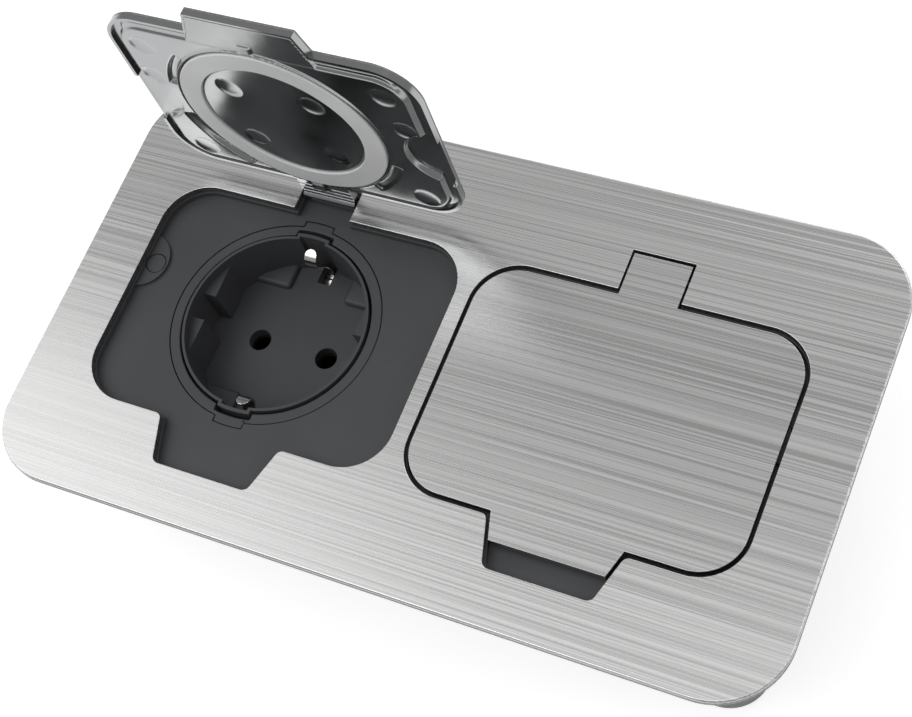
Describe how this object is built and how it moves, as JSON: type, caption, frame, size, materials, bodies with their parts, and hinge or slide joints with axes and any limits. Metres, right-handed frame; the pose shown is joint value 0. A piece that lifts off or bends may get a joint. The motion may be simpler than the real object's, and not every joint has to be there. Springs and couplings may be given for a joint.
{
  "type": "double weatherproof socket",
  "caption": "Flush double earthed power socket: a brushed steel cover plate with a hinged sealed lid over each round well, on a sealed rear housing.",
  "frame": {"origin": "centre of the rear housing's back face, under the centre of the cover plate", "axes": "+X along the cover plate, +Y from the finger notches to the lid hinges, +Z out of the wall"},
  "size_m": [0.2004, 0.1142, 0.1192],
  "materials": {
    "plate": "fine lengthwise brushing, satin",
    "lid_skin": "fine lengthwise brushing, satin",
    "lid_casting": "polished die casting, bright with soft cloudy reflections",
    "lid_gasket": "smooth pale grey, matt",
    "plate_seal": "smooth mid grey, matt",
    "dark_moulding": "fine moulded texture, satin-matt anthracite",
    "inner_seal": "black, matt",
    "plated": "bright nickel plate",
    "pin_steel": "ground, bright",
    "screw_steel": "bright zinc plate",
    "brass": "stamped, satin",
    "base_moulding": "moulded, matt light grey",
    "housing_moulding": "moulded, matt grey",
    "gland_moulding": "moulded, satin grey"
  },
  "bodies": {
    "housing": {"cover_plate": "plate", "plate_seal": "plate_seal", "plate_nuts": "screw_steel", "socket_carrier": "dark_moulding", "housing_seal": "inner_seal", "rear_housing": "housing_moulding", "fixing_screws": "screw_steel", "gland_body": "gland_moulding", "gland_locknut": "gland_moulding", "gland_seal": "inner_seal", "gland_cap": "gland_moulding", "line_link": "brass", "neutral_link": "brass", "earth_link": "brass", "left_screw_cap": "dark_moulding", "left_collar_ring": "dark_moulding", "left_insert_seal": "inner_seal", "left_socket_insert": "dark_moulding", "left_insert_screws": "screw_steel", "left_earth_strap": "plated", "left_contact_base": "base_moulding", "left_line_contact": "brass", "left_neutral_contact": "brass", "left_terminal_screws": "screw_steel", "left_base_screws": "screw_steel", "left_hinge_pin": "pin_steel", "right_screw_cap": "dark_moulding", "right_collar_ring": "dark_moulding", "right_insert_seal": "inner_seal", "right_socket_insert": "dark_moulding", "right_insert_screws": "screw_steel", "right_earth_strap": "plated", "right_contact_base": "base_moulding", "right_line_contact": "brass", "right_neutral_contact": "brass", "right_terminal_screws": "screw_steel", "right_base_screws": "screw_steel", "right_hinge_pin": "pin_steel"},
    "left_lid": {"left_lid_skin": "lid_skin", "left_lid_frame": "lid_casting", "left_lid_gasket": "lid_gasket"},
    "right_lid": {"right_lid_skin": "lid_skin", "right_lid_frame": "lid_casting", "right_lid_gasket": "lid_gasket"}
  },
  "joints": [
    {"name": "left_lid_hinge", "type": "hinge", "parent": "housing", "child": "left_lid", "pos_m": [-0.04315, 0.035, 0.0466], "axis": [-1, 0, 0], "range_deg": [-90, 0]},
    {"name": "right_lid_hinge", "type": "hinge", "parent": "housing", "child": "right_lid", "pos_m": [0.04315, 0.035, 0.0466], "axis": [-1, 0, 0], "range_deg": [0, 90]}
  ]
}
